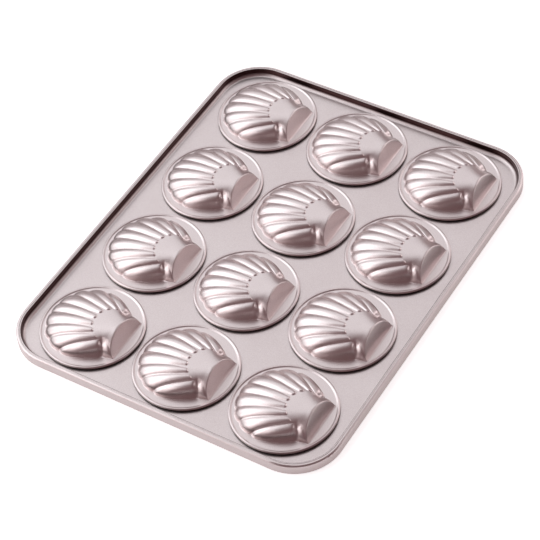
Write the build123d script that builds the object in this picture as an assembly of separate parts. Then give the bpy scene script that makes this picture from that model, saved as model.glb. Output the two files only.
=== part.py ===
from build123d import *
import os
from math import cos, radians, sin

os.makedirs("parts", exist_ok=True)

# Millimetres. +Z is the side that the shells stand up on, and the rim's lower edge is at zero.
# The pan lies bottom up: the batter goes into the hollows under the shells.

# tray sheet
tray_width = 273.0
tray_length = 348.0
tray_corner_radius = 37.0
tray_sheet = 0.6
rim_width = 4.0
rim_rise = 6.2
rim_drop = 2.0
rim_foot_radius = 3.3
rim_inner_edge_radius = 0.8
rim_bead_radius = 1.5
rim_groove_radius = 0.25
rim_groove_setback = 1.4
channel_corner_radius = 0.5

# rim wire
wire_diameter = 2.2

# rows of cups
cup_columns = 3
cup_rows = 4
cup_pitch_across = 83.0
cup_pitch_along = 83.9

# cup disc and its seam over the collar of the tray
cup_sheet = 0.5
disc_rise = 2.3
seam_rise = 2.9
seam_radius = 40.15
seam_edge_radius = 0.8
seam_inner_radius = 0.3
seam_gap = 0.3

# shell of a cup, measured from the disc's top and the cup's centre
wall_reach = 31.1
wall_half_width = 18.8
wall_height = 13.3
wall_lean_angle = 18.0
block_length = 17.0
crown_reach = 12.0
crown_radius = 23.0
crown_height = 12.8
crown_edge_radius = 9.5
fan_reach = 3.8
fan_fill_radius = 27.0
fan_fill_height = 7.5
fan_fill_edge_radius = 7.0
rib_count = 7
rib_step_angle = 22.3
rib_height = 13.9
rib_tip_centre = 21.6
rib_tip_spread = 16.2
rib_tip_radius = 1.6
rib_shoulder_radius = 4.8
rib_end_radius = 5.9
rib_end_spread = 25.6
rib_end_height = 1.6
rib_nose = 4.4
rib_shoulder_share, rib_end_share = 0.36, 0.8
lobe_root_x, lobe_root_y, lobe_root_z = 19.0, 11.5, 4.6
lobe_end_x, lobe_end_y, lobe_end_z = -2.6, 26.8, 0.2
lobe_root_radius = 7.4
lobe_middle_radius = 8.8
lobe_end_radius = 6.2
lobe_nose = 3.6
lobe_middle_share, lobe_end_share = 0.46, 0.8
round_share = 0.9

overrun = 5.0

plate_top = rim_drop
plate_under = plate_top - tray_sheet
rim_top = plate_top + rim_rise
disc_top = plate_top + disc_rise
seam_top = plate_top + seam_rise
collar_top = seam_top - cup_sheet
collar_outer = seam_radius - cup_sheet - seam_gap
collar_inner = collar_outer - tray_sheet
disc_radius = collar_inner - seam_gap - cup_sheet


def tray_block(inset, low, high):
    """Rounded rectangle drawn in from the tray's outer face, between two heights."""
    width = tray_width - 2 * inset
    length = tray_length - 2 * inset
    outline = RectangleRounded(width, length, tray_corner_radius - inset)
    return Pos(0, 0, low) * extrude(outline, high - low)


def loop_edges(solid, inset, height):
    """Edges of one closed loop of the tray, picked by their height and distance in."""
    slack = tray_sheet / 4
    near = []
    for edge in solid.edges().filter_by_position(Axis.Z, height - slack, height + slack):
        box = edge.bounding_box()
        reach = max(abs(box.min.X), abs(box.max.X))
        ahead = max(abs(box.min.Y), abs(box.max.Y))
        side = abs(reach - (tray_width / 2 - inset)) < slack
        end = abs(ahead - (tray_length / 2 - inset)) < slack
        if (side or end) and box.size.Z < slack:
            near.append(edge)
    return near


def cup_places():
    for row in range(cup_rows):
        for column in range(cup_columns):
            x = (column - (cup_columns - 1) / 2) * cup_pitch_across
            y = (row - (cup_rows - 1) / 2) * cup_pitch_along
            yield row, column, Pos(x, y, 0)


def make_tray():
    inner_face = rim_width
    channel_face = rim_width - tray_sheet
    ceiling = rim_top - tray_sheet
    tray = tray_block(0, 0, rim_top)
    tray -= tray_block(inner_face, plate_top, rim_top + overrun)
    tray -= tray_block(tray_sheet, -overrun, plate_under)
    channel = tray_block(tray_sheet, -overrun, ceiling)
    channel -= tray_block(channel_face, -2 * overrun, rim_top)
    tray -= channel
    tray = fillet(loop_edges(tray, 0, rim_top), rim_bead_radius)
    tray = fillet(loop_edges(tray, inner_face, rim_top), rim_inner_edge_radius)
    tray = fillet(loop_edges(tray, inner_face, plate_top), rim_foot_radius)
    tray = fillet(loop_edges(tray, channel_face, plate_under), rim_foot_radius + tray_sheet)
    tray = fillet(loop_edges(tray, tray_sheet, ceiling), rim_bead_radius - tray_sheet)
    tray = fillet(loop_edges(tray, channel_face, ceiling), channel_corner_radius)
    groove_inset = rim_width - rim_groove_setback
    tray -= rim_loop(groove_inset, rim_top, rim_groove_radius)
    for row, column, place in cup_places():
        collar = Pos(0, 0, plate_under) * extrude(Circle(collar_outer), collar_top - plate_under)
        bore = Pos(0, 0, plate_under - overrun) * extrude(Circle(collar_inner), seam_top + overrun)
        tray += place * collar
        tray -= place * bore
    return tray


def rim_loop(inset, height, radius):
    """Round rod that follows the rim at one distance in from its outer face."""
    width = tray_width - 2 * inset
    length = tray_length - 2 * inset
    path = RectangleRounded(width, length, tray_corner_radius - inset).wire()
    path = Pos(0, 0, height) * path
    start = Plane(origin=path @ 0, z_dir=path % 0)
    return sweep(start * Circle(radius), path)


def make_wire():
    channel_width = rim_width - 2 * tray_sheet
    inset = tray_sheet + channel_width / 2
    radius = wire_diameter / 2
    return rim_loop(inset, rim_top - tray_sheet - radius, radius)


def rounded_profile(points, rounds):
    """Closed profile on a turning axis; each inner corner gets its own round."""
    face = make_face(Polyline(*points, close=True))
    for (x, y), radius in zip(points[1:], rounds):
        corner = face.vertices().sort_by_distance((x, y, 0))[0]
        face = fillet(corner, radius)
    return face


def club(start, finish, stations, nose):
    """Body of revolution along a line: the radii at its start, inside and end."""
    axis = finish - start
    length = axis.length
    tip = stations[0][1]
    last = stations[-1][1]
    points = [(0, -tip), (tip, -tip)]
    points += [(radius, share * length) for share, radius in stations[1:]]
    points += [(last, length + nose), (0, length + nose)]
    rounds = [tip * round_share, last * 2, last * 2, last * round_share]
    face = rounded_profile(points, rounds)
    down = axis.cross(Vector(0, 0, 1)).cross(axis) * -1
    return Plane(origin=start, x_dir=down, z_dir=axis).location * revolve(Plane.XZ * face, Axis.Z)


def rib(index, inset):
    angle = radians(index * rib_step_angle)
    out_x, out_y = -cos(angle), -sin(angle)
    tip_z = rib_height - rib_tip_radius
    start = Vector(rib_tip_centre + rib_tip_spread * out_x, rib_tip_spread * out_y, tip_z)
    finish = Vector(rib_end_spread * out_x - fan_reach, rib_end_spread * out_y, rib_end_height)
    stations = [
        (0, rib_tip_radius - inset),
        (rib_shoulder_share, rib_shoulder_radius - inset),
        (rib_end_share, rib_end_radius - inset),
    ]
    return club(start, finish, stations, rib_nose - inset)


def lobe(side, inset):
    start = Vector(lobe_root_x, side * lobe_root_y, lobe_root_z)
    finish = Vector(lobe_end_x, side * lobe_end_y, lobe_end_z)
    stations = [
        (0, lobe_root_radius - inset),
        (lobe_middle_share, lobe_middle_radius - inset),
        (lobe_end_share, lobe_end_radius - inset),
    ]
    return club(start, finish, stations, lobe_nose - inset)


def dome(x, radius, height, edge_radius, inset):
    """Low round block with a well rounded upper edge."""
    wide = radius - inset
    high = height - inset
    points = [(0, high), (wide, high), (wide, -overrun), (0, -overrun)]
    face = rounded_profile(points, [edge_radius - inset])
    return Pos(x, 0, 0) * revolve(Plane.XZ * face, Axis.Z)


def hinge_block(inset):
    """Half-elliptic barrel that the leaning flat wall cuts off."""
    wide = wall_half_width - inset
    high = wall_height - inset
    arc = EllipticalCenterArc((0, 0), wide, high, 0, arc_size=180)
    lines = Polyline((-wide, 0), (-wide, -overrun), (wide, -overrun), (wide, 0))
    face = make_face(Curve() + [arc, lines])
    back = Plane(origin=(wall_reach - block_length, 0, 0), x_dir=(0, 1, 0), z_dir=(1, 0, 0))
    return extrude(back * face, block_length + overrun)


def wall_cut(inset):
    """Space in front of the leaning flat wall."""
    lean = radians(wall_lean_angle)
    reach = wall_reach - inset / cos(lean)
    size = 4 * seam_radius
    plane = Plane(origin=(reach, 0, 0), x_dir=(0, 1, 0), z_dir=(cos(lean), 0, sin(lean)))
    return extrude(plane * Rectangle(size, size), size)


def shell_form(inset):
    form = dome(crown_reach, crown_radius, crown_height, crown_edge_radius, inset)
    form += dome(-fan_reach, fan_fill_radius, fan_fill_height, fan_fill_edge_radius, inset)
    form += hinge_block(inset)
    for side in (-1, 1):
        form += lobe(side, inset)
    middle = (rib_count - 1) / 2
    for number in range(rib_count):
        form += rib(number - middle, inset)
    return form - wall_cut(inset)


def above(form, level):
    size = 4 * seam_radius
    return form & Pos(0, 0, level) * extrude(Rectangle(size, size), size)


def seam_disc():
    """Flat disc whose edge steps up, over the collar and down outside it."""
    low = -cup_sheet
    step = seam_rise - disc_rise
    hook_end = seam_gap - disc_rise
    inner = disc_radius + cup_sheet
    outer = seam_radius - cup_sheet
    points = [
        (0, low),
        (inner, low),
        (inner, step - cup_sheet),
        (outer, step - cup_sheet),
        (outer, hook_end),
        (seam_radius, hook_end),
        (seam_radius, step),
        (disc_radius, step),
        (disc_radius, 0),
        (0, 0),
    ]
    face = make_face(Polyline(*points, close=True))
    outer_corner = face.vertices().sort_by_distance((seam_radius, step, 0))[0]
    face = fillet(outer_corner, seam_edge_radius)
    inner_corner = face.vertices().sort_by_distance((disc_radius, step, 0))[0]
    face = fillet(inner_corner, seam_inner_radius)
    return revolve(Plane.XZ * face, Axis.Z)


def make_cup():
    cup = seam_disc() + above(shell_form(0), -cup_sheet)
    return cup - above(shell_form(cup_sheet), -cup_sheet - overrun)


export_step(make_tray(), "parts/tray_sheet.step")
export_step(make_wire(), "parts/rim_wire.step")
cup = Pos(0, 0, disc_top) * make_cup()
for row, column, place in cup_places():
    name = f"shell_cup_row{row + 1}_column{column + 1}"
    export_step(place * cup, f"parts/{name}.step")
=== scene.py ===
import math

import bpy
import numpy as np
from mathutils import Matrix, Vector


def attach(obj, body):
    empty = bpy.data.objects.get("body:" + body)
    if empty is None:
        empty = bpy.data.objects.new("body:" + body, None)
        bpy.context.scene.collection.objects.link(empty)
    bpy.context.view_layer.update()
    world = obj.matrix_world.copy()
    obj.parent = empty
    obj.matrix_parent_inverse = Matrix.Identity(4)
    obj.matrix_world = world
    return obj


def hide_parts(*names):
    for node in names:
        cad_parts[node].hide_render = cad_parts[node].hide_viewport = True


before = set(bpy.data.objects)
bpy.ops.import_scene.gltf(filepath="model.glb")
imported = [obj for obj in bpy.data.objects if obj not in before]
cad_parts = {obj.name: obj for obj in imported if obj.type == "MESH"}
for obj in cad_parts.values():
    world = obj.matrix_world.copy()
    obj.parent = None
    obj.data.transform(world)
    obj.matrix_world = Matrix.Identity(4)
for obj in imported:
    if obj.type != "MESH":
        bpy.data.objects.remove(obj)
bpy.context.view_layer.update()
print("frame loaded")

mm = 0.001
bodyName = "root"

# One pressed cup: millimetres from its own centre and the top of its disc, with +X towards the flat wall.
# Angles are in degrees. A bend or power shapes a curve, and a share runs from 0 to 1.
cup = {
    # places in the tray, and the sheet
    "columns": 3, "rows": 4, "pitchAcross": 83.0, "pitchAlong": 83.9, "discTop": 4.3, "sheet": 0.5,
    # smooth back of the shell, highest at the flat wall
    "wallX": 31.1, "wallHalf": 18.8, "wallHeight": 14.2, "wallLean": 22.0, "wallFlare": 0.318,
    "crownFlare": 0.6, "crownSlope": 0.018, "crownPower": 0.58, "wallBend": 1.6, "bendGrowth": 0.05,
    # the fan: ribs start on a circle and end on another, with a tip for each rib between its cusps
    "ribs": 7, "ribStep": 22.3, "fanMiddle": (21.6, 0.0), "innerRadius": 15.0,
    "fanX": -3.8, "cuspRadius": 31.0, "cuspRibs": (0.0, 0.5, 1.5, 2.5, 3.5),
    "cuspAngles": (0.0, 9.6, 33.0, 55.0, 82.0), "tipReach": (0.9, 1.4, 1.6, 1.6), "tipPower": 0.75,
    # a rib along its length, and the nose that it starts with
    "creaseBend": 1.62, "ridgeBend": 2.0,
    "noseRise": 0.8, "noseStart": 1.2, "noseLength": 0.7, "noseSide": 1.3,
    # a rib across its width, from its nose to where its section is full
    "noseShare": 0.58, "nosePower": 0.7, "noseRound": 3.2,
    "ribPower": 0.9, "ribRound": 2.0, "ribFullShare": 0.42,
    # the lobe beside the fan, its foot in plan
    "lobeFoot": ((-7.7, 31.05), (-5.9, 32.5), (1.0, 31.9), (8.2, 29.5), (15.5, 25.6), (22.1, 21.1)),
    "lobeBend": 1.9, "lobeRise": 2.0, "lobeSwell": 0.6, "swellPlace": 1.6, "swellPower": 1.3,
    # the neck between the lobe and the corner of the flat wall
    "neckX": 22.3, "neckStart": (23.0, 14.2), "neckBend": 2.0,
    "cornerStart": (26.0, 15.5), "cornerBow": 0.9, "kneeStart": (22.6, 18.4), "kneeEnd": (29.5, 18.75),
    # the hollow that parts the lobe from the flat wall's lip
    "waistX": 21.6, "waistSlant": -0.36, "waistBack": 1.8, "waistFront": 3.6, "waistDepth": 2.5,
    "waistStart": 12.2, "waistSpread": 4.4, "waistFoot": 4.0,
    # the disc's bead, hooked over the tray's collar: distance from the cup's centre and height
    "seamRing": ((37.6, 0.0), (37.95, 0.06), (38.25, 0.3), (38.65, 0.52), (39.2, 0.6), (39.65, 0.5),
                 (39.97, 0.2), (40.13, -0.3), (40.15, -1.1), (40.15, -2.0)),
    # how far corners and creases are rounded, and how many rows next to the bead are left as they are
    "softness": 0.3, "wallSoftness": 0.8, "creaseRounds": 2, "flatRows": 4,
    # how fine the mesh is: lines round the shell, steps along each, and the steps behind them
    "linesPerRib": 24, "lobeLines": 44, "neckLines": 16, "wallLines": 36,
    "coreSteps": 12, "bodySteps": 64, "discSteps": 11, "crowding": 0.55, "footSteps": 10,
    "walkStep": 0.2, "softStep": 0.12, "curveSteps": 40, "wallSteps": 60, "halvings": 40,
}
wallSlope = math.tan(math.radians(cup["wallLean"]))


def ease(x):
    x = np.clip(x, 0, 1)
    return x * x * (3 - 2 * x)


# a height that bows from the top down to nothing
def bowed(topZ, share, bend):
    return topZ * np.sqrt(np.clip(1 - share ** bend, 0, 1))


# length gone along a line at each of its points
def runAlong(line):
    return np.concatenate([[0], np.cumsum(np.linalg.norm(np.diff(line, axis=0), axis=1))])


def pointsAt(line, run, at):
    return np.stack([np.interp(at, run, column) for column in line.T], axis=1)


# even points on a smooth curve through a few given ones
def curveThrough(points, count):
    given = np.array(points, float)
    padded = np.vstack([2 * given[0] - given[1], given, 2 * given[-1] - given[-2]])
    fine = []
    for a, b, c, d in zip(padded, padded[1:], padded[2:], padded[3:]):
        for t in np.linspace(0, 1, cup["curveSteps"], endpoint=False):
            fine.append(0.5 * (2 * b + (c - a) * t + (2 * a - 5 * b + 4 * c - d) * t * t
                               + (3 * b - a - 3 * c + d) * t ** 3))
    fine = np.array(fine + [given[-1]])
    run = runAlong(fine)
    return pointsAt(fine, run, np.linspace(0, run[-1], count))


# plan points along a bent line, and the length gone at each
def walk(points):
    corners = np.array(points, float)
    run = runAlong(corners)
    at = np.linspace(0, run[-1], max(int(run[-1] / cup["walkStep"]), 2) + 1)
    return pointsAt(corners, run, at), at


# a line with its corners rounded and its two ends kept
def softened(line, width):
    step = cup["softStep"]
    run = runAlong(line)
    even = pointsAt(line, run, np.linspace(0, run[-1], int(run[-1] / step) + 1))
    reach = int(3 * width / step)
    weights = np.exp(-0.5 * (np.arange(-reach, reach + 1) * step / width) ** 2)
    weights /= weights.sum()
    before = 2 * even[0] - even[1:reach + 1][::-1]
    after = 2 * even[-1] - even[-reach - 1:-1][::-1]
    padded = np.vstack([before, even, after])
    return np.stack([np.convolve(column, weights, mode="valid") for column in padded.T], axis=1)


# even places along a line, or closer ones towards both its ends
def resampled(line, steps, crowding=0.0):
    run = runAlong(line)
    share = np.linspace(0, 1, steps + 1)
    return pointsAt(line, run, run[-1] * (share - crowding * np.sin(2 * np.pi * share) / (2 * np.pi)))


# smooth back of the shell, from the flat wall to the tips of the ribs
def crownHeight(x, y):
    back = cup["wallX"] - x
    wide = cup["wallHalf"] + cup["wallFlare"] * np.minimum(back, cup["wallX"] - cup["neckX"])
    wide = wide + cup["crownFlare"] * np.clip(cup["neckX"] - x, 0, None)
    bend = cup["wallBend"] + cup["bendGrowth"] * np.clip(back, 0, None)
    ratio = np.clip(np.abs(y) / wide, 0, 1) ** bend
    return (cup["wallHeight"] - cup["crownSlope"] * back) * (1 - ratio) ** cup["crownPower"]


# depth of the hollow that parts the lobes from the wall's lip
def waist(x, y, height):
    off = x - (cup["waistX"] + cup["waistSlant"] * (cup["wallHalf"] - np.abs(y)))
    reach = np.where(off < 0, cup["waistBack"], cup["waistFront"])
    depth = cup["waistDepth"] * np.exp(-(off / reach) ** 2)
    outwards = ease((np.abs(y) - cup["waistStart"]) / cup["waistSpread"])
    return depth * outwards * ease(height / cup["waistFoot"])


def backHeight(x, y):
    height = crownHeight(x, y)
    return height - waist(x, y, height)


# height at which the leaning wall meets the shell's back
def wallEdgeHeight(y):
    low, high = 0.0, 2 * cup["wallHeight"]
    for _ in range(cup["halvings"]):
        z = (low + high) / 2
        if backHeight(cup["wallX"] - z * wallSlope, y) > z:
            low = z
        else:
            high = z
    return z


# where rib place u starts in plan; u is 0 on the middle rib, 1 on the next
def ribTop(u):
    angle = math.radians(u * cup["ribStep"])
    x, y = cup["fanMiddle"]
    return np.array([x - cup["innerRadius"] * math.cos(angle), y + cup["innerRadius"] * math.sin(angle)])


# where it ends, and how far off its rib's ridge it is: 0 on the ridge, 1 or -1 in a crease
def ribFoot(u):
    rib = min(int(u + 0.5), len(cup["tipReach"]) - 1)
    across = 2 * (u - rib)
    angle = math.radians(np.interp(u, cup["cuspRibs"], cup["cuspAngles"]))
    reach = cup["cuspRadius"] + cup["tipReach"][rib] * max(1 - across * across, 0) ** cup["tipPower"]
    return np.array([cup["fanX"] - reach * math.cos(angle), reach * math.sin(angle)]), across


# Each line below gives its start, its points in plan, their heights, its foot and its softness.
def ribLine(u):
    start = ribTop(u)
    foot, across = ribFoot(u)
    plan, along = walk([start, foot])
    share = along / along[-1]
    topZ = backHeight(*start)
    crease = bowed(topZ, share, cup["creaseBend"])
    ridge = bowed(topZ + cup["noseRise"], share, cup["ridgeBend"])
    full = ease(share / cup["ribFullShare"])
    spread = cup["noseShare"] + (1 - cup["noseShare"]) * full
    power = cup["nosePower"] + (cup["ribPower"] - cup["nosePower"]) * full
    roundness = cup["noseRound"] + (cup["ribRound"] - cup["noseRound"]) * full
    bulge = np.clip(1 - np.abs(across / spread) ** roundness, 0, 1) ** power
    side = 1 - np.sqrt(np.clip(1 - (across / spread) ** 2, 0, 1))     # the nose is round in plan
    onset = np.clip((along - cup["noseStart"] - cup["noseSide"] * side) / cup["noseLength"], 0, 1)
    bulge = bulge * np.sqrt(1 - (1 - onset) ** 2)
    return start, plan, crease + (ridge - crease) * bulge, foot, cup["softness"]


def lobeLine(share, foot):
    fanEnd, neckStart = ribTop(cup["ribs"] / 2), np.array(cup["neckStart"])
    start = fanEnd + (neckStart - fanEnd) * share
    plan, along = walk([start, foot])
    topZ = crownHeight(*start)
    part = along / along[-1]
    crease = bowed(topZ, part, cup["creaseBend"])
    full = bowed(topZ, part, cup["lobeBend"] + (cup["neckBend"] - cup["lobeBend"]) * share)
    weight = 1 - (1 - share) ** cup["lobeRise"]
    swell = 4 * share * (1 - share) * np.sin(np.pi * part ** cup["swellPlace"]) ** cup["swellPower"]
    height = crease + (full - crease) * weight + cup["lobeSwell"] * swell
    return start, plan, height - waist(*plan.T, height), foot, cup["softness"]


def neckLine(share, lobeEnd):
    neckStart, cornerStart = np.array(cup["neckStart"]), np.array(cup["cornerStart"])
    start = neckStart + (cornerStart - neckStart) * share
    foot = lobeEnd + (np.array([cup["wallX"], cup["wallHalf"]]) - lobeEnd) * share
    knee = np.array(cup["kneeStart"]) * (1 - share) + np.array(cup["kneeEnd"]) * share
    plan, along = walk([start, knee, foot])
    bow = bowed(crownHeight(*start), along / along[-1], cup["neckBend"])
    height = bow * (1 - share) + crownHeight(*plan.T) * share
    height = height - waist(*plan.T, height)
    height = np.minimum(height, (cup["wallX"] - plan[:, 0]) / wallSlope)
    return start, plan, height, foot, cup["wallSoftness"]


# over the shell's back to the wall's top edge, then down the flat wall
def wallLine(turn):
    y = cup["wallHalf"] * math.cos(turn)
    z = wallEdgeHeight(y)
    cornerX, cornerY = cup["cornerStart"]
    start = np.array([cornerX - cup["cornerBow"] * (1 - math.cos(turn)), cornerY * math.cos(turn)])
    edge = np.array([cup["wallX"] - z * wallSlope, y])
    foot = np.array([cup["wallX"], y])
    plan, _ = walk([start, edge])
    height = backHeight(*plan.T)
    drop = np.linspace(0, 1, cup["wallSteps"])[1:, None]
    plan = np.vstack([plan, edge + (foot - edge) * drop])
    height = np.concatenate([height[:-1], [z], z * (1 - drop[:, 0])])
    return start, plan, height, foot, cup["wallSoftness"]


# the sheet's outside along one line: from the fan's middle over the shell, the disc and the bead
def profile(start, plan, height, foot, softness):
    ring = np.array(cup["seamRing"])
    angle = math.atan2(foot[1], foot[0])
    outwards = np.array([math.cos(angle), math.sin(angle)])
    core, _ = walk([cup["fanMiddle"], start])
    disc, _ = walk([foot, outwards * ring[0, 0]])
    whole = softened(np.vstack([
        np.column_stack([core[:-1], backHeight(*core.T)[:-1]]),
        np.column_stack([plan[:-1], np.clip(height[:-1], 0, None)]),
        np.column_stack([disc, np.zeros(len(disc))]),
    ]), softness)
    first = int(np.argmin(np.linalg.norm(whole[:, :2] - start, axis=1)))
    last = int(np.argmin(np.linalg.norm(whole[:, :2] - foot, axis=1) + np.abs(whole[:, 2])))
    clear = min(last + cup["footSteps"], len(whole) - 3)      # a little past the foot, for its fillet
    return np.vstack([
        resampled(whole[:first + 1], cup["coreSteps"])[1:],
        resampled(whole[first:clear + 1], cup["bodySteps"], cup["crowding"])[1:],
        resampled(whole[clear:], cup["discSteps"])[1:],
        np.column_stack([ring[1:, :1] * outwards, ring[1:, 1]]),
    ])


# lines all the way round the cup, from the middle rib past the flat wall and back
def cupLines():
    feet = curveThrough(cup["lobeFoot"], cup["lobeLines"] + 1)
    fanCount = int(cup["ribs"] / 2 * cup["linesPerRib"])
    lines = [ribLine(i / cup["linesPerRib"]) for i in range(fanCount + 1)]
    lines += [lobeLine(i / cup["lobeLines"], feet[i]) for i in range(1, cup["lobeLines"] + 1)]
    lines += [neckLine(i / cup["neckLines"], feet[-1]) for i in range(1, cup["neckLines"] + 1)]
    lines += [wallLine(0.5 * math.pi * i / cup["wallLines"]) for i in range(1, cup["wallLines"] + 1)]
    half = np.array([profile(*line) for line in lines])
    rows = np.vstack([half, half[1:-1][::-1] * np.array([1, -1, 1])])
    shellRows = rows[:, :-len(cup["seamRing"]) - cup["flatRows"]]
    for _ in range(cup["creaseRounds"]):              # rounds the creases a little
        beside = np.roll(shellRows, 1, axis=0) + np.roll(shellRows, -1, axis=0)
        shellRows[:] = 0.5 * shellRows + 0.25 * beside
    return rows


def vertexNormals(points, faces):
    probe = bpy.data.meshes.new("shellProbe")
    probe.from_pydata(points.tolist(), [], faces)
    probe.update()
    normals = np.zeros(len(points) * 3)
    probe.vertex_normals.foreach_get("vector", normals)
    bpy.data.meshes.remove(probe)
    return normals.reshape(-1, 3)


# the cup as one closed sheet: its outside, the same a sheet's thickness below, and the hook's end
def cupMesh():
    rows = cupLines()
    lineCount, stepCount = rows.shape[:2]
    middle = np.array(cup["fanMiddle"])
    outer = np.vstack([[[*middle, crownHeight(*middle)]], rows.reshape(-1, 3)])

    def at(i, j):
        return 1 + (i % lineCount) * stepCount + j

    hookEnd = stepCount - 1
    faces = []
    for i in range(lineCount):
        faces.append((0, at(i + 1, 0), at(i, 0)))
        for j in range(hookEnd):
            faces.append((at(i, j), at(i + 1, j), at(i + 1, j + 1), at(i, j + 1)))
    under = outer - vertexNormals(outer, faces) * cup["sheet"]
    for i in range(lineCount):                       # the hook's end stays level
        under[at(i, hookEnd), 2] = outer[at(i, hookEnd), 2]
    count = len(outer)
    faces += [tuple(v + count for v in reversed(face)) for face in faces]
    for i in range(lineCount):
        a, b = at(i, hookEnd), at(i + 1, hookEnd)
        faces.append((a, b, b + count, a + count))
    mesh = bpy.data.meshes.new("shellSheet")
    mesh.from_pydata((np.vstack([outer, under]) * mm).tolist(), [], faces)
    mesh.validate()
    mesh.update()
    mesh.polygons.foreach_set("use_smooth", [True] * len(mesh.polygons))
    return mesh


# a node with its settings; an input takes a plain value or another node's output
def addNode(tree, kind, inputs, **settings):
    node = tree.nodes.new(kind)
    for key, value in settings.items():
        setattr(node, key, value)
    for key, value in inputs.items():
        if isinstance(value, bpy.types.NodeSocket):
            tree.links.new(value, node.inputs[key])
        else:
            node.inputs[key].default_value = value
    return node


def newGroup(name, inputs, outputs):
    group = bpy.data.node_groups.new(name, "ShaderNodeTree")
    for label, kind, value in inputs:
        socket = group.interface.new_socket(name=label, in_out="INPUT", socket_type=kind)
        socket.default_value = value
    for label, kind in outputs:
        group.interface.new_socket(name=label, in_out="OUTPUT", socket_type=kind)
    return group, group.nodes.new("NodeGroupInput"), group.nodes.new("NodeGroupOutput")


# how the baked coating varies: flakes, soft mottling and a light orange peel; and which walls that face
# inwards get painted shade
coatPattern = {
    "flakeDetail": 1.0, "flakeRange": (0.35, 0.65),
    "mottleSize": 0.03, "mottleDetail": 3.0, "mottleRange": (0.3, 0.7), "mottleShare": 0.12,
    "peelDetail": 2.0, "roughGain": 0.12, "wallShadeFacing": (0.2, 0.5),
}


def noise(group, place, size, detail):
    scale = addNode(group, "ShaderNodeMath", {0: 1.0, 1: size}, operation="DIVIDE")
    texture = addNode(group, "ShaderNodeTexNoise", {
        "Vector": place.outputs["Object"], "Scale": scale.outputs[0], "Detail": detail})
    return texture.outputs["Fac"]


def mixColors(group, share, first, second):
    mix = addNode(group, "ShaderNodeMix", {}, data_type="RGBA")
    group.links.new(share, mix.inputs["Factor"])
    group.links.new(first, mix.inputs[6])             # inputs 6 and 7 and output 2 are the colours
    group.links.new(second, mix.inputs[7])
    return mix.outputs[2]


# where the surface is a steep wall that faces the middle of the pan, between two heights: the mask for the
# painted wall shade
def inwardWallShade(group, into, place, height):
    low, full = coatPattern["wallShadeFacing"]
    flat = addNode(group, "ShaderNodeVectorMath", {
        0: place.outputs["Object"], 1: (-1, -1, 0)}, operation="MULTIPLY")
    inward = addNode(group, "ShaderNodeVectorMath", {0: flat.outputs["Vector"]}, operation="NORMALIZE")
    facing = addNode(group, "ShaderNodeVectorMath", {
        0: inward.outputs["Vector"], 1: place.outputs["Normal"]}, operation="DOT_PRODUCT")
    steep = addNode(group, "ShaderNodeMapRange", {
        "Value": facing.outputs["Value"], "From Min": low, "From Max": full}, interpolation_type="SMOOTHSTEP")
    above = addNode(group, "ShaderNodeMapRange", {
        "Value": height, "From Min": into.outputs["Wall Shade Low"], "From Max": into.outputs["Wall Shade High"]},
        interpolation_type="SMOOTHSTEP")
    both = addNode(group, "ShaderNodeMath", {0: steep.outputs["Result"], 1: above.outputs["Result"]},
                   operation="MULTIPLY")
    return both.outputs[0]


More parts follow.
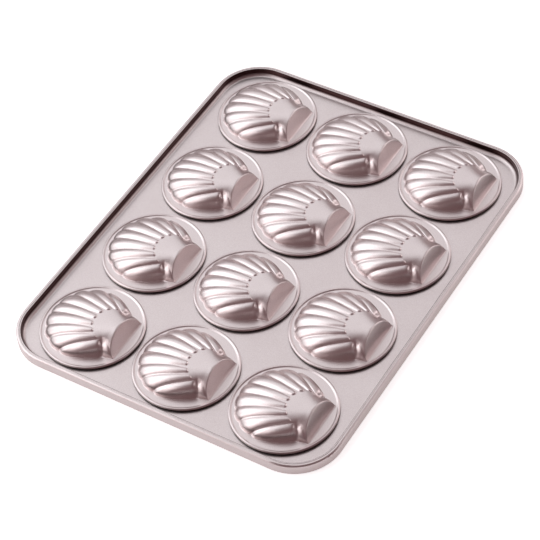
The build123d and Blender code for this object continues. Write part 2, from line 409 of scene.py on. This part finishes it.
# the baked metallic coating, shared by every metal finish, with painted shade in the gap under a bead and on
# walls that face inwards
def coatGroup():
    group, into, out = newGroup("metallicCoat", [
        ("Base Color", "NodeSocketColor", (0.8, 0.72, 0.7, 1)),
        ("Tint", "NodeSocketColor", (0.6, 0.52, 0.5, 1)),
        ("Roughness", "NodeSocketFloat", 0.3),
        ("Flake Size", "NodeSocketFloat", 0.0005),
        ("Flake Amount", "NodeSocketFloat", 0.3),
        ("Peel Size", "NodeSocketFloat", 0.0015),
        # the next three sockets place and colour the painted shade in the gap under a cup's bead
        ("Seam Shade Top", "NodeSocketFloat", -1.0),
        ("Seam Shade Bottom", "NodeSocketFloat", -1.001),
        ("Painted Seam Shade", "NodeSocketColor", (0.03, 0.02, 0.02, 1)),
        # the next three sockets place and colour the painted shade on steep walls that face inwards
        ("Wall Shade Low", "NodeSocketFloat", 1.0),
        ("Wall Shade High", "NodeSocketFloat", 1.001),
        ("Painted Wall Shade", "NodeSocketColor", (0.07, 0.035, 0.035, 1)),
    ], [("Color", "NodeSocketColor"), ("Roughness", "NodeSocketFloat"), ("Height", "NodeSocketFloat")])
    place = addNode(group, "ShaderNodeTexCoord", {})
    height = addNode(group, "ShaderNodeSeparateXYZ", {0: place.outputs["Object"]}).outputs["Z"]

    flakeLow, flakeHigh = coatPattern["flakeRange"]
    flakeMap = addNode(group, "ShaderNodeMapRange", {
        "Value": noise(group, place, into.outputs["Flake Size"], coatPattern["flakeDetail"]),
        "From Min": flakeLow, "From Max": flakeHigh})
    flakes = addNode(group, "ShaderNodeMath", {
        0: flakeMap.outputs["Result"], 1: into.outputs["Flake Amount"]}, operation="MULTIPLY").outputs[0]
    mottleLow, mottleHigh = coatPattern["mottleRange"]
    mottle = addNode(group, "ShaderNodeMapRange", {
        "Value": noise(group, place, coatPattern["mottleSize"], coatPattern["mottleDetail"]),
        "From Min": mottleLow, "From Max": mottleHigh, "To Max": coatPattern["mottleShare"]})
    total = addNode(group, "ShaderNodeMath", {
        0: flakes, 1: mottle.outputs["Result"]}, operation="ADD").outputs[0]

    color = mixColors(group, total, into.outputs["Base Color"], into.outputs["Tint"])
    seamShade = addNode(group, "ShaderNodeMapRange", {          # painted shade: the bead's lower outer wall, in the gap over the tray, is painted dark
        "Value": height, "From Min": into.outputs["Seam Shade Top"], "From Max": into.outputs["Seam Shade Bottom"]},
        interpolation_type="SMOOTHSTEP")
    # painted shade: below the given height the colour turns to a near black shade
    color = mixColors(group, seamShade.outputs["Result"], color, into.outputs["Painted Seam Shade"])
    # painted shade: steep inner walls that face the middle of the pan are painted dark
    color = mixColors(group, inwardWallShade(group, into, place, height), color, into.outputs["Painted Wall Shade"])
    rough = addNode(group, "ShaderNodeMath", {
        0: total, 1: coatPattern["roughGain"], 2: into.outputs["Roughness"]}, operation="MULTIPLY_ADD")
    peel = noise(group, place, into.outputs["Peel Size"], coatPattern["peelDetail"])
    relief = addNode(group, "ShaderNodeMath", {0: peel, 1: flakes}, operation="ADD")
    group.links.new(color, out.inputs["Color"])
    group.links.new(rough.outputs[0], out.inputs["Roughness"])
    group.links.new(relief.outputs[0], out.inputs["Height"])
    return group


def coatedMetal(name, group, finish):
    material = bpy.data.materials.new(name)
    material.use_nodes = True
    tree = material.node_tree
    shader = tree.nodes["Principled BSDF"]
    grain = addNode(tree, "ShaderNodeGroup", finish["grain"], node_tree=group)
    bump = addNode(tree, "ShaderNodeBump", {"Height": grain.outputs["Height"], **finish["bump"]})
    for key, value in finish["shader"].items():
        shader.inputs[key].default_value = value
    tree.links.new(grain.outputs["Color"], shader.inputs["Base Color"])
    tree.links.new(grain.outputs["Roughness"], shader.inputs["Roughness"])
    tree.links.new(bump.outputs["Normal"], shader.inputs["Normal"])
    return material


# finishes, with lengths in metres; the heights of the painted shade under a bead and of the painted shade on
# inward walls are measured in the piece's own space
trayFinish = {
    "grain": {"Base Color": (0.80, 0.72, 0.715, 1), "Tint": (0.6, 0.5, 0.5, 1), "Roughness": 0.33,
              "Flake Size": 0.0006, "Flake Amount": 0.3, "Peel Size": 0.002,
              # the tray's inner rim walls are painted dark between these heights, a painted shade
              "Wall Shade Low": 0.0018, "Wall Shade High": 0.0044},
    "shader": {"Metallic": 1.0},
    "bump": {"Strength": 0.18, "Distance": 0.00006},
}
cupFinish = {
    "grain": {"Base Color": (0.84, 0.757, 0.752, 1), "Tint": (0.63, 0.525, 0.525, 1), "Roughness": 0.33,
              "Flake Size": 0.0006, "Flake Amount": 0.3, "Peel Size": 0.002,
              # below these heights the cup's bead is painted dark, a painted shade in the gap over the tray
              "Seam Shade Top": -0.0005, "Seam Shade Bottom": -0.001},
    "shader": {"Metallic": 1.0},
    "bump": {"Strength": 0.18, "Distance": 0.00006},
}
wireFinish = {
    "grain": {"Base Color": (0.55, 0.54, 0.53, 1), "Tint": (0.35, 0.33, 0.32, 1), "Roughness": 0.35,
              "Flake Size": 0.0008, "Flake Amount": 0.4, "Peel Size": 0.004},
    "shader": {"Metallic": 1.0},
    "bump": {"Strength": 0.3, "Distance": 0.00008},
}
coat = coatGroup()
trayCoat = coatedMetal("trayCoat", coat, trayFinish)
cupCoat = coatedMetal("cupCoat", coat, cupFinish)
wireSteel = coatedMetal("wireSteel", coat, wireFinish)
print("finishes made")

cupSheet = cupMesh()
cupSheet.materials.append(cupCoat)
for row in range(cup["rows"]):
    for column in range(cup["columns"]):
        nodeName = f"shell_cup_row{row + 1}_column{column + 1}"
        piece = bpy.data.objects.new(f"shellCup_{row + 1}_{column + 1}", cupSheet)
        bpy.context.scene.collection.objects.link(piece)
        x = (column - (cup["columns"] - 1) / 2) * cup["pitchAcross"]
        y = (row - (cup["rows"] - 1) / 2) * cup["pitchAlong"]
        piece.location = (x * mm, y * mm, cup["discTop"] * mm)
        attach(piece, bodyName)
        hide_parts(nodeName)
print("shell cups made")

for nodeName, finish in (("tray_sheet", trayCoat), ("rim_wire", wireSteel)):
    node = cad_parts[nodeName]
    node.data.materials.clear()
    node.data.materials.append(finish)
print("tray and wire coated")


# 1 where a ray comes straight from the camera or through something clear, 0 elsewhere
def seenPlainly(tree, path):
    seen = addNode(tree, "ShaderNodeMath", {
        0: path.outputs["Is Camera Ray"], 1: path.outputs["Is Transmission Ray"]}, operation="ADD")
    return seen.outputs[0]


# white paper: it glows a little for the camera, and by a share of that in the metal's reflections
floorPaper = {
    "size": 8.0, "color": (0.9, 0.9, 0.9, 1), "roughness": 0.9, "specular": 0.0,
    "lift": 0.7, "mirrorShare": 0.45,
}


def makeFloor():
    half = floorPaper["size"] / 2
    corners = [(-half, -half, 0), (half, -half, 0), (half, half, 0), (-half, half, 0)]
    mesh = bpy.data.meshes.new("floor")
    mesh.from_pydata(corners, [], [(0, 1, 2, 3)])
    floor = bpy.data.objects.new("floor", mesh)
    bpy.context.scene.collection.objects.link(floor)
    material = bpy.data.materials.new("floorPaper")
    material.use_nodes = True
    tree = material.node_tree
    shader = tree.nodes["Principled BSDF"]
    shader.inputs["Base Color"].default_value = floorPaper["color"]
    shader.inputs["Roughness"].default_value = floorPaper["roughness"]
    shader.inputs["Specular IOR Level"].default_value = floorPaper["specular"]
    path = addNode(tree, "ShaderNodeLightPath", {})
    mirrored = addNode(tree, "ShaderNodeMath", {
        0: path.outputs["Is Glossy Ray"], 1: floorPaper["mirrorShare"], 2: seenPlainly(tree, path)},
        operation="MULTIPLY_ADD")
    lift = addNode(tree, "ShaderNodeMath", {
        0: mirrored.outputs[0], 1: floorPaper["lift"]}, operation="MULTIPLY")
    glow = addNode(tree, "ShaderNodeEmission", {"Strength": lift.outputs[0]})
    both = addNode(tree, "ShaderNodeAddShader", {0: shader.outputs[0], 1: glow.outputs[0]})
    tree.links.new(both.outputs[0], tree.nodes["Material Output"].inputs["Surface"])
    mesh.materials.append(material)


# lamps: bearing from +X towards +Y and height above the floor in degrees, lengths in metres
lamps = {
    "leftSoftbox": {"bearing": 200, "height": 33, "distance": 1.6, "size": (1.85, 1.75),
                    "glow": 1.02, "color": (0.93, 1.0, 1.02)},
    "topSoftbox": {"bearing": 152, "height": 49, "distance": 2.0, "size": (3.1, 2.2),
                   "glow": 0.82, "color": (0.92, 1.0, 1.02)},
    "backPanel": {"bearing": 60, "height": 23, "distance": 2.2, "size": (2.3, 1.5),
                  "glow": 1.25, "color": (1.0, 0.97, 0.97)},
    "frontFill": {"bearing": 236, "height": 29, "distance": 1.5, "size": (1.05, 1.15),
                  "glow": 1.0, "color": (1.0, 0.95, 0.95)},
}


# a soft panel that faces the pan; its brightness is its glow, whatever its size
def makeLamp(name, lamp):
    data = bpy.data.lights.new(name, "AREA")
    data.shape = "RECTANGLE"
    data.size, data.size_y = lamp["size"]
    data.energy = lamp["glow"] * math.pi * data.size * data.size_y
    data.color = lamp["color"]
    item = bpy.data.objects.new(name, data)
    bpy.context.scene.collection.objects.link(item)
    bearing, height = math.radians(lamp["bearing"]), math.radians(lamp["height"])
    level = math.cos(height)
    away = Vector((math.cos(bearing) * level, math.sin(bearing) * level, math.sin(height)))
    item.location = away * lamp["distance"]
    item.rotation_euler = away.to_track_quat("Z", "Y").to_euler()


# the room: dim and reddish round the pan, white where the camera looks past the floor's edge
room = {"color": (1.0, 0.6, 0.62, 1), "strength": 0.17, "backdropColor": (1, 1, 1, 1)}


def makeRoom():
    world = bpy.data.worlds.new("studio")
    bpy.context.scene.world = world
    world.use_nodes = True
    tree = world.node_tree
    dim = tree.nodes["Background"]
    dim.inputs["Color"].default_value = room["color"]
    dim.inputs["Strength"].default_value = room["strength"]
    backdrop = addNode(tree, "ShaderNodeBackground", {"Color": room["backdropColor"]})
    path = addNode(tree, "ShaderNodeLightPath", {})
    mix = addNode(tree, "ShaderNodeMixShader", {
        0: seenPlainly(tree, path), 1: dim.outputs[0], 2: backdrop.outputs[0]})
    tree.links.new(mix.outputs[0], tree.nodes["World Output"].inputs["Surface"])


makeFloor()
for lampName, lamp in lamps.items():
    makeLamp(lampName, lamp)
makeRoom()
print("stage made")

# camera, at the photograph's place: angles in degrees, lengths in metres, lens and sensor in millimetres
view = {
    "turn": 35.83738, "tilt": 47.89363, "roll": -6.39278, "distance": 1.61087,
    "target": (0.004387, -0.015194, 0.002), "lens": 142.09, "sensor": 36.0, "farClip": 20.0,
}
turn, tilt, roll = (math.radians(view[key]) for key in ("turn", "tilt", "roll"))
back = Vector((math.sin(turn) * math.cos(tilt), -math.cos(turn) * math.cos(tilt), math.sin(tilt)))
right = Vector((0, 0, 1)).cross(back).normalized()
upward = back.cross(right)
rolledRight = math.cos(roll) * right + math.sin(roll) * upward
rolledUp = -math.sin(roll) * right + math.cos(roll) * upward
cameraData = bpy.data.cameras.new("photoCamera")
cameraData.lens = view["lens"]
cameraData.sensor_width = view["sensor"]
cameraData.clip_end = view["farClip"]
camera = bpy.data.objects.new("photoCamera", cameraData)
bpy.context.scene.collection.objects.link(camera)
standpoint = Vector(view["target"]) + back * view["distance"]
camera.matrix_world = Matrix((
    (rolledRight.x, rolledUp.x, back.x, standpoint.x),
    (rolledRight.y, rolledUp.y, back.y, standpoint.y),
    (rolledRight.z, rolledUp.z, back.z, standpoint.z),
    (0, 0, 0, 1),
))
bpy.context.scene.camera = camera
bpy.context.scene.view_settings.view_transform = "Standard"
print("camera set")
